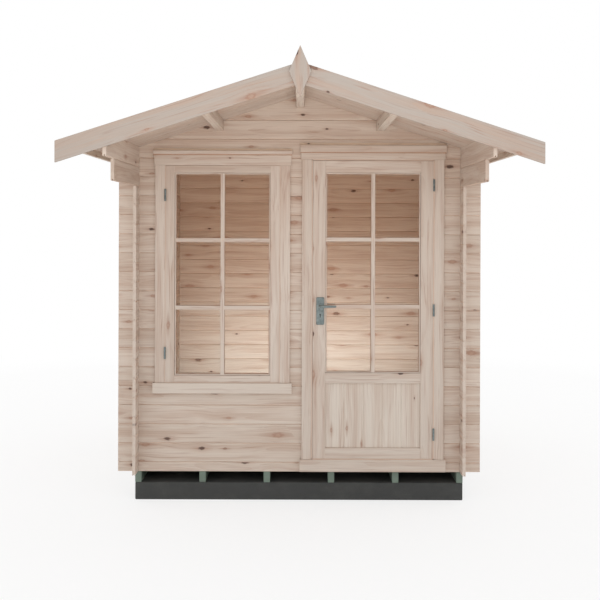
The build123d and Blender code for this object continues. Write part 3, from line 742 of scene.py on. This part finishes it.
def glazed(prefix, bar_levels, body):
    """The finish of one sheet of glass, and beads, bars and seals on both of its faces; the seals' brown is
    partly painted shade.
    """
    glass = prefix + "_glass"
    sheet = frame["nodes"][glass].data
    sheet.materials.clear()
    sheet.materials.append(clear_glass)
    low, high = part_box(glass)
    middle = (low.x + high.x) / 2
    half = bar_width / 2
    rise = ovolo(bead_width * bead_round_share, bead_depth, bar_step)
    bead = [(bead_gap, 0), (bead_gap, bead_depth)]
    bead += [(bead_width - inset, height) for inset, height in rise] + [(bead_width, 0)]
    slope = ovolo(half * bar_round_share, bar_depth, bar_step)
    bar = [(-half, 0)] + [(inset - half, height) for inset, height in slope[::-1]]
    bar += [(half - inset, height) for inset, height in slope] + [(half, 0)]
    seal = [(-bead_width / 2, 0), (-bead_width / 2, seal_depth), (seal_show, seal_depth), (seal_show, 0)]
    beads, bars, seals = bmesh.new(), bmesh.new(), bmesh.new()
    levels = [low.z + bead_width - half, *bar_levels, high.z - bead_width + half]
    uprights = [low.x + bead_width - half, middle, high.x - bead_width + half]
    bays = [(low.x + bead_gap, middle - bar_halving), (middle + bar_halving, high.x - bead_gap)]
    for face, outward in ((low.y, -1), (high.y, 1)):
        mitred(beads, low.x, high.x, low.z, high.z, face, outward, bead)
        upright = [(middle + aside, face + outward * height, low.z + bead_gap) for aside, height in bar]
        prism(bars, upright, (0, 0, high.z - low.z - 2 * bead_gap))
        for level in bar_levels:
            for left, right in bays:
                cross = [(left, face + outward * min(height, bar_depth - bar_halving), level + aside)
                         for aside, height in bar]
                prism(bars, cross, (right - left, 0, 0))
        for left, right in zip(uprights, uprights[1:]):
            for bottom, top in zip(levels, levels[1:]):
                mitred(seals, left + half, right - half, bottom + half, top - half, face, outward, seal)
    for name, made in (("glass_beads", beads), ("glazing_bars", bars)):
        piece = placed(f"{prefix}_{name}", made, joinery_pine)
        grain_into(piece.data, None, piece.name)
        fixed(piece, body)
    fixed(placed(f"{prefix}_glass_seals", seals, brown_mastic), body)


clear_glass, tree, shader = finish("clear_window_glass")
smear = cloudy(spot_on(tree), 7.0, 5.0, 0.7)
tree.links.new(times(ramped(smear, 0.5, 0.85), 0.035), shader.inputs["Roughness"])
shader.inputs["Base Color"].default_value = glass_clear
shader.inputs["Transmission Weight"].default_value = 1.0
shader.inputs["IOR"].default_value = 1.15
path = put("LightPath", tree=tree).outputs
lamp_ray = sums("MAXIMUM", path["Is Shadow Ray"], path["Is Diffuse Ray"])
through = put("BsdfTransparent", {"Color": glass_clear}, tree)
pane = put("MixShader", {0: lamp_ray, 1: shader.outputs[0], 2: through.outputs[0]})
tree.links.new(pane.outputs[0], tree.nodes["Material Output"].inputs["Surface"])
glazed("window", window_bar_levels, "cabin")

# The barrel hinges: turned steel barrels, zinc plated and dulled to a grey green, in two halves on
# a pin, each with a foot let on to the face of the wood.
hinge_sides = 28
hinge_crown = 0.0016
crown_share = 0.6
crown_rise = hinge_crown * crown_share
barrel_radius = 0.0055
barrel_neck = barrel_radius - hinge_crown
foot_inset = 0.0008
half_split = 0.0002
half_sash_gap = 0.0015
metal_relief = 0.00008
hinge_light = tint(142, 152, 152)
hinge_dark = tint(106, 117, 118)
hinge_grain = (240, 240, 60)


rubbing, given, gives = shared_effect(
    "rubbing",
    [("Spot", "Vector"), ("Line Scale", "Vector"), ("Light", "Color"), ("Dark", "Color"),
     ("Least Roughness", "Float")],
    [("Colour", "Color"), ("Roughness", "Float"), ("Height", "Float")])
rubbed = cloudy(stretched(given["Spot"], given["Line Scale"]), 1.0, 3.0)
worn = times(cloudy(given["Spot"], 60.0, 4.0), 0.6)
worn = ramped(sums("ADD", worn, times(rubbed, 0.4)), 0.35, 0.65)
rubbing.links.new(mixed(worn, given["Dark"], given["Light"]), gives["Colour"])
rubbing.links.new(lifted(rubbed, 0.25, given["Least Roughness"]), gives["Roughness"])
rubbing.links.new(rubbed, gives["Height"])


def metal(name, light, dark, line_scale, roughness, metallic):
    """A dulled metal: cloudy colour with fine rubbed lines, and a roughness that they add to."""
    made, tree, shader = finish(name)
    values = {"Spot": spot_on(tree), "Line Scale": line_scale, "Light": light, "Dark": dark,
              "Least Roughness": roughness}
    look = put("Group", values, node_tree=rubbing).outputs
    coated(shader, look["Colour"], look["Roughness"])
    shader.inputs["Metallic"].default_value = metallic
    bumped(shader, look["Height"], metal_relief)
    return made


def hinge_half(work, x, y, profile, side, half_gap, wood, bottom, top):
    """Half a barrel, and its foot from the barrel's middle back to the wood on one side of the gap."""
    turned(work, (x, y, 0), along_z, profile, hinge_sides)
    near = x + side * half_gap
    far = x + side * barrel_radius
    outline = [(near, y), (near, wood), (far, wood), (far, y)]
    prism(work, [(x, y, bottom + foot_inset) for x, y in outline], (0, 0, top - bottom - 2 * foot_inset))


hinge_steel = metal("dulled_hinge_steel", hinge_light, hinge_dark, hinge_grain, 0.3, 0.85)
work = bmesh.new()
window_hinge_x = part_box("window_stiles")[0].x - half_sash_gap
for low, high in islands("window_hinges"):
    axis_y = low.y + barrel_radius
    middle = (low.z + high.z) / 2
    for bottom, top, side in ((low.z, middle - half_split, -1), (middle + half_split, high.z, 1)):
        profile = [(0, bottom), (barrel_neck, bottom), (barrel_radius, bottom + crown_rise),
                   (barrel_radius, top - crown_rise), (barrel_neck, top), (0, top)]
        hinge_half(work, window_hinge_x, axis_y, profile, side, half_sash_gap, high.y, bottom, top)
window_hinges = smooth(placed("window_barrel_hinges", work, hinge_steel))
fixed(window_hinges, node="window_hinges")

# The draught strips: narrow brown foam stuck to the inner faces of the frame, all round. They close
# the gap round the sash, a little behind its face. Their pale brown is partly the foam's and partly
# painted light, which keeps the shaded gap from showing too dark.
strip_back = 0.0007
foam_relief = 0.0003
# Painted light: the strips' pale brown sets how light the gap round the sash shows.
strip_brown = tint(226, 203, 186)
strip_shade = tint(208, 180, 162)
window_lips = (0.0028, 0.0028, 0.0028, 0.0014)
gap_light_foam, tree, shader = finish("brown_draught_foam")
cells = put("TexVoronoi", {"Vector": spot_on(tree), "Scale": 900.0}).outputs["Distance"]
coated(shader, mixed(cells, strip_brown, strip_shade), ramped(cells, -1.6, 0.9))
bumped(shader, cells, foam_relief)


def draught(prefix, sill, lips):
    """Foam strips inside a frame: left, right, bottom and top, each as thick as its lip."""
    low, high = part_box(prefix + "_stiles")
    left_post, right_post = sorted(islands(prefix + "_jambs"), key=lambda box: box[0].x)
    left, right = left_post[1].x, right_post[0].x
    bottom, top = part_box(sill)[1].z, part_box(prefix + "_head")[0].z
    front, back = low.y + strip_back, high.y
    spans = [(left, left + lips[0], bottom, top), (right - lips[1], right, bottom, top),
             (left, right, bottom, bottom + lips[2]), (left, right, top - lips[3], top)]
    work = bmesh.new()
    for x0, x1, z0, z1 in spans:
        outline = [(x0, front, z0), (x1, front, z0), (x1, front, z1), (x0, front, z1)]
        prism(work, outline, (0, back - front, 0))
    fixed(placed(prefix + "_draught_strips", work, gap_light_foam))


draught("window", "window_sill", window_lips)

# The door's frame: posts over the log ends, a head, a tall drip cap, a threshold that lies on the
# lowest log and the stop battens behind the leaf. The same planed pine as the window's.
door_post_seed = 3
door_lips = (0.0049, 0.0060, 0.0060, 0.0044)
planed("door_jambs", along_z, frame_ease, joinery_pine, seed=door_post_seed)
planed("door_stops", along_z, frame_ease, joinery_pine)
for node in ("door_head", "door_threshold"):
    planed(node, along_x, frame_ease, joinery_pine)
planed("door_cap", along_x, cap_ease, cap_pine)
# The same fillets as at the window: pale pine above as painted light, brown mastic below as painted shadow.
pointed("door")
draught("door", "door_threshold", door_lips)

# The door leaf: stiles and three rails with a boarded panel below and glass above. The panel's
# boards stand upright and meet in bevelled grooves; the glass has beads and bars like the window's.
leaf_ease = 0.0008
panel_ease = 0.0005
door_bar_levels = (1.162, 1.564)
planed("door_stiles", along_z, leaf_ease, joinery_pine, body="door")
planed("door_rails", along_x, leaf_ease, joinery_pine, body="door")
planed("door_panel", along_z, panel_ease, pale_pine, body="door")
glazed("door", door_bar_levels, "door")

# The door's three hinges: the lower half of each barrel carries the pin and is on the post, and
# the upper half turns on it with the leaf.
pin_radius = 0.003
pin_rise = 0.030
pin_ease = 0.0006
pin_fit = 0.0001
bore = pin_radius + pin_fit
bore_spare = 0.001
half_leaf_gap = 0.00325
hinge_x, hinge_y = frame["joints"][0]["pos_m"][:2]
leaf_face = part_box("door_stiles")[0].y
pins = bmesh.new()
for low, high in islands("door_hinge_pins"):
    top = high.z - pin_rise
    profile = [(0, low.z), (barrel_neck, low.z), (barrel_radius, low.z + crown_rise), (barrel_radius, top),
               (pin_radius, top), (pin_radius, high.z - pin_ease), (pin_radius - pin_ease, high.z),
               (0, high.z)]
    hinge_half(pins, hinge_x, hinge_y, profile, 1, half_leaf_gap, leaf_face, low.z, top)
door_pins = smooth(placed("door_hinge_lower_halves", pins, hinge_steel))
fixed(door_pins, node="door_hinge_pins")
knuckles = bmesh.new()
for low, high in islands("door_hinge_knuckles"):
    bore_top = low.z + pin_rise + bore_spare
    profile = [(0, bore_top), (bore, bore_top), (bore, low.z), (barrel_radius, low.z),
               (barrel_radius, high.z - crown_rise), (barrel_neck, high.z), (0, high.z)]
    hinge_half(knuckles, hinge_x, hinge_y, profile, -1, half_leaf_gap, leaf_face, low.z, high.z)
door_knuckles = smooth(placed("door_hinge_upper_halves", knuckles, hinge_steel))
fixed(door_knuckles, "door", "door_hinge_knuckles")

# The handle's plates: a cast plate with a raised rim on each face of the leaf, screwed through,
# with a collar for the lever and a keyhole in a ring. The keyhole is a thin dark inlay standing
# proud of the plate: a painted shadow in place of a hole. Satin zinc, a dull grey with a green cast.
plate_corner = 0.006
corner_steps = 6
plate_levels = [(0.0, 0.0), (0.0, 0.0062), (0.0009, 0.0074), (0.0018, 0.0078), (0.0034, 0.0078),
                (0.0042, 0.0068)]
collar = [(0, 0), (0.0125, 0), (0.0125, 0.0008), (0.0112, 0.0013), (0, 0.0013)]
screw = [(0, -0.002), (0.0036, -0.002), (0.0036, 0.0004), (0.003, 0.001), (0.0013, 0.0012),
         (0.0009, 0.0004), (0, 0.0004)]
key_ring = [(0, -0.001), (0.0085, -0.001), (0.0085, 0.0005), (0.0078, 0.0009), (0, 0.0009)]
collar_sides = 32
screw_sides = 20
screw_inset = 0.011
key_drop = 0.051
key_radius = 0.0044
key_steps = 20
slot_half = 0.0021
slot_drop = 0.0175
keyway_seat = 0.0002
keyway_depth = 0.0009
plate_smooth = 50
plate_light = tint(148, 158, 157)
plate_dark = tint(114, 125, 125)
plate_grain = (500, 500, 40)
# Painted shadow: the keyhole's dark colours stand for the shade inside a hole.
keyhole_shadow_black = tint(20, 20, 20)
keyhole_shadow_grey = tint(42, 42, 40)
handle_zinc = metal("satin_handle_zinc", plate_light, plate_dark, plate_grain, 0.32, 0.7)
keyhole_painted_shadow = mottled("dark_keyway", keyhole_shadow_black, keyhole_shadow_grey, 700.0, 2.0, (-1.0, 1.2))


def rounded(left, right, bottom, top, corner):
    """Corner points of a rectangle with round corners."""
    middles = [(right - corner, top - corner), (left + corner, top - corner),
               (left + corner, bottom + corner), (right - corner, bottom + corner)]
    points = []
    for quarter, (x, z) in enumerate(middles):
        for step in range(corner_steps + 1):
            turn = math.pi / 2 * (quarter + step / corner_steps)
            points.append((x + corner * math.cos(turn), z + corner * math.sin(turn)))
    return points


lever_x, lever_y, lever_z = frame["joints"][1]["pos_m"]
key_z = lever_z - key_drop
plate_boxes = sorted(islands("door_handle_plates"), key=lambda box: box[0].y)
plates = bmesh.new()
keyways = bmesh.new()
for low, high in plate_boxes:
    outward = -1 if low.y < lever_y else 1
    face = high.y if outward < 0 else low.y
    rings = []
    for inset, height in plate_levels:
        ring = rounded(low.x + inset, high.x - inset, low.z + inset, high.z - inset, plate_corner - inset)
        rings.append([(x, face + outward * height, z) for x, z in ring])
    skinned(plates, rings)
    field = face + outward * plate_levels[-1][1]
    for profile, z, sides in ((collar, lever_z, collar_sides), (screw, low.z + screw_inset, screw_sides),
                              (screw, high.z - screw_inset, screw_sides), (key_ring, key_z, collar_sides)):
        turned(plates, (lever_x, field, z), (0, outward, 0), profile, sides)
    start = math.asin(slot_half / key_radius)
    sweep = 2 * (math.pi - start) / key_steps
    turns = [start - math.pi / 2 + sweep * step for step in range(key_steps + 1)]
    hole = [(lever_x + key_radius * math.cos(turn), key_z + key_radius * math.sin(turn)) for turn in turns]
    hole += [(lever_x - slot_half, key_z - slot_drop), (lever_x + slot_half, key_z - slot_drop)]
    prism(keyways, [(x, field + outward * keyway_seat, z) for x, z in hole], (0, outward * keyway_depth, 0))
handle_plates = smooth(placed("door_handle_cast_plates", plates, handle_zinc), plate_smooth)
fixed(handle_plates, "door", "door_handle_plates")
fixed(placed("door_keyholes", keyways, keyhole_painted_shadow), "door")

# The levers: a pair of cast zinc grips on one square spindle, each with a round neck that bends
# into a flatter grip with a rounded tip. They are pinned to the spindle on both sides of the leaf.
lever_sides = 24
lever_fit = 0.0005
neck = (0.0080, 0.0080)
grip_root = (0.0085, 0.0055)
grip_tip = (0.0060, 0.0048)
bend_radius = 0.015
bend_steps = 8
grip_steps = 10
tip_steps = 6
spindle_half = 0.0032
low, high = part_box("door_lever")
levers = bmesh.new()


def between(first, second, share):
    """Half height and half depth of a lever, part of the way from one section to another."""
    return [start + (end - start) * share for start, end in zip(first, second)]


def lever_sections(start, end, outward):
    """Sections of one lever from neck to tip: place and way seen from above, half height and depth."""
    grip_y = end - outward * grip_root[1]
    sections = [((lever_x, start), (0, outward), neck)]
    for step in range(bend_steps + 1):
        turn = math.pi / 2 * step / bend_steps
        place = (lever_x + bend_radius * (1 - math.cos(turn)),
                 grip_y - outward * bend_radius * (1 - math.sin(turn)))
        way = (math.sin(turn), outward * math.cos(turn))
        sections.append((place, way, between(neck, grip_root, step / bend_steps)))
    grip_start = lever_x + bend_radius
    grip_end = high.x - grip_tip[0]
    for step in range(1, grip_steps + 1):
        share = step / grip_steps
        place = (grip_start + share * (grip_end - grip_start), grip_y)
        sections.append((place, (1, 0), between(grip_root, grip_tip, share)))
    for step in range(1, tip_steps):
        turn = math.pi / 2 * step / tip_steps
        place = (grip_end + grip_tip[0] * math.sin(turn), grip_y)
        sections.append((place, (1, 0), [half * math.cos(turn) for half in grip_tip]))
    return sections


for plate_low, plate_high in plate_boxes:
    outward = -1 if plate_low.y < lever_y else 1
    start = plate_low.y - lever_fit if outward < 0 else plate_high.y + lever_fit
    rings = []
    for (x, y), way, (tall, deep) in lever_sections(start, low.y if outward < 0 else high.y, outward):
        turns = [2 * math.pi * step / lever_sides for step in range(lever_sides)]
        rings.append([(x + way[1] * deep * math.cos(turn), y - way[0] * deep * math.cos(turn),
                       lever_z + tall * math.sin(turn)) for turn in turns])
    skinned(levers, rings)
spindle_front = plate_boxes[0][0].y - lever_fit
spindle_back = plate_boxes[1][1].y + lever_fit
square = [(lever_x + x * spindle_half, spindle_front, lever_z + z * spindle_half)
          for x, z in ((-1, 0), (0, -1), (1, 0), (0, 1))]
prism(levers, square, (0, spindle_back - spindle_front, 0))
door_levers = smooth(placed("door_lever_handles", levers, handle_zinc), plate_smooth)
fixed(door_levers, "lever", "door_lever")

# The purlins: one at the ridge and one in the middle of each slope, notched into the gables and
# running out to the barge boards. Planed pine with eased edges.
roof_ease = 0.0022
for node in ("ridge_purlin", "side_purlins"):
    planed(node, along_y, roof_ease, pale_pine)

# The roof boards: narrow tongue-and-groove boards laid from ridge to eaves on the purlins, with
# bevelled edges that show from below as a line at each joint.
roof_cover = 0.0965
roof_joint = 0.0005
roof_bevel = 0.003
roof_pitch = math.radians(18)
roof_slope = math.tan(roof_pitch)
roof_early = tint(205, 191, 179)
roof_end = tint(190, 166, 148)
roof_pine = timber("planed_roof_pine", roof_early, pine_late, pine_knots, roof_end,
                   knot_share=0.4, knot_size=0.011)


def down_slope(middle):
    """The way that a board on the roof or a gable runs, on its own side of the ridge."""
    return (math.cos(roof_pitch), 0, -math.copysign(math.sin(roof_pitch), middle.x))


for side, node in ((-1, "roof_boards_left"), (1, "roof_boards_right")):
    low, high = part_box(node)
    near, far = sorted((abs(low.x), abs(high.x)))
    thick = high.z - low.z - (far - near) * roof_slope
    under = high.z - thick
    work = bmesh.new()
    for front, back in laid(low.y, high.y, roof_cover, roof_joint):
        section = [(front, roof_bevel), (front + roof_bevel, 0), (back - roof_bevel, 0), (back, roof_bevel),
                   (back, thick), (front, thick)]
        prism(work, [(side * near, y, under + rise) for y, rise in section],
              (side * (far - near), 0, -roof_slope * (far - near)))
    boards = placed(f"{node}_laid", work, roof_pine)
    grain_into(boards.data, down_slope, node)
    fixed(boards, node=node)

# The eaves boards close the ends of the roof boards, the barge boards close the gables and are
# mitred at the ridge, and a diamond finial covers each mitre. Planed pine, nailed to the purlins.
barge_early = tint(184, 175, 167)
barge_pine = timber("planed_barge_pine", barge_early, joinery_late, pine_knots, roof_end,
                    knot_share=0.5, knot_size=0.0125, vein=0.42)
# The eaves boards take the paler pine as painted light, to lift their shaded inner faces under the roof.
planed("eaves_boards", along_y, roof_ease, pale_pine)
for node in ("front_barge_boards", "back_barge_boards"):
    planed(node, down_slope, roof_ease, barge_pine)
for node in ("front_finial", "back_finial"):
    planed(node, along_z, roof_ease, barge_pine)

# The roof felt: green-black mineral felt in strips along the roof, the upper ones lapped over the
# lower ones and a cap strip folded over the ridge, held at the laps and edges by clout nails.
felt_dark = tint(58, 62, 61)
felt_light = tint(88, 93, 91)
felt_bleach = tint(102, 106, 101)
felt_rows = 10
felt_pitch = 0.06
felt_lift = 0.0012
felt_waves = (3, 2.2, 900)
felt_thick = 0.0024
felt_fit = 0.0002
felt_relief = 0.001
felt_lap = 0.09
felt_drip = 0.012
felt_smooth = 40
lap_share = 0.52
cap_half = 0.15
clout_radius = 0.005
clout_pitch = 0.11
clout_inset = 0.022
clout_lift = 0.0006
weather_scale = (3, 0.8, 3)
felt_grit, tree, shader = finish("mineral_roof_felt")
spot = spot_on(tree)
grit = put("TexVoronoi", {"Vector": spot, "Scale": 420.0}).outputs
flake = put("SeparateColor", {0: grit["Color"]}).outputs[0]
bleached = times(ramped(cloudy(spot, weather_scale, 5.0), 0.4, 0.75), 0.45)
shade = mixed(bleached, mixed(flake, felt_dark, felt_light), felt_bleach)
coated(shader, shade, lifted(flake, 0.2, 0.75))
bumped(shader, grit["Distance"], felt_relief)
low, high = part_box("roof_felt")
ridge_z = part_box("roof_boards_right")[1].z


def felt_top(x):
    """Height of the roof boards' upper face at a distance from the ridge."""
    return ridge_z - x * roof_slope


def joined(work, first, second):
    """Faces between two rows of points."""
    for index in range(len(first) - 1):
        work.faces.new((first[index], first[index + 1], second[index + 1], second[index]))


def felt_strip(work, side, near, far, stacked, drip):
    """One strip of felt on a slope: a slightly wavy sheet, with a folded lower edge where it drips."""
    rows = [near + (far - near) * row / felt_rows for row in range(felt_rows + 1)]
    columns = round((high.y - low.y) / felt_pitch)
    lower, upper = [], []
    for row, x in enumerate(rows + ([far] if drip else [])):
        folded = row > felt_rows
        bottoms, tops = [], []
        for column in range(columns + 1):
            y = low.y + (high.y - low.y) * column / columns
            wave = noise.noise(Vector((side * x, y, stacked)) * Vector(felt_waves))
            wave = (wave + 0.5) * felt_lift if 0 < row < felt_rows else 0.0
            base = felt_top(x) + stacked + max(wave, 0.0) - (drip if folded else 0)
            bottoms.append(work.verts.new((side * (x - (felt_thick if folded else 0)), y, base)))
            tops.append(work.verts.new((side * x, y, base + (0 if folded else felt_thick))))
        lower.append(bottoms)
        upper.append(tops)
    for sheet in (lower, upper):
        for first, second in zip(sheet, sheet[1:]):
            joined(work, first, second)
    for end in (0, -1):
        joined(work, lower[end], upper[end])
        joined(work, [row[end] for row in lower], [row[end] for row in upper])


felt = bmesh.new()
clouts = bmesh.new()
middle_x = (high.x + cap_half) * lap_share
strips = [(middle_x - felt_lap / 2, high.x, 0.0, felt_drip),
          (felt_fit, middle_x + felt_lap / 2, felt_thick, 0.0),
          (felt_fit, cap_half, 2 * felt_thick, 0.0)]
for side in (-1, 1):
    slope_up = (side * math.sin(roof_pitch), 0, math.cos(roof_pitch))
    for near, far, stacked, drip in strips:
        felt_strip(felt, side, near, far, stacked + felt_fit, drip)
        edge = far - clout_inset
        for front, back in laid(low.y, high.y, clout_pitch):
            place = (side * edge, (front + back) / 2, felt_top(edge) + stacked + felt_thick + clout_lift)
            nail_head(clouts, place, slope_up, clout_radius)
roof_felt = smooth(placed("roof_felt_strips", felt, felt_grit), felt_smooth)
fixed(roof_felt, node="roof_felt")
fixed(placed("roof_felt_clouts", clouts, nail_steel))

bpy.context.scene.view_settings.view_transform = "Standard"
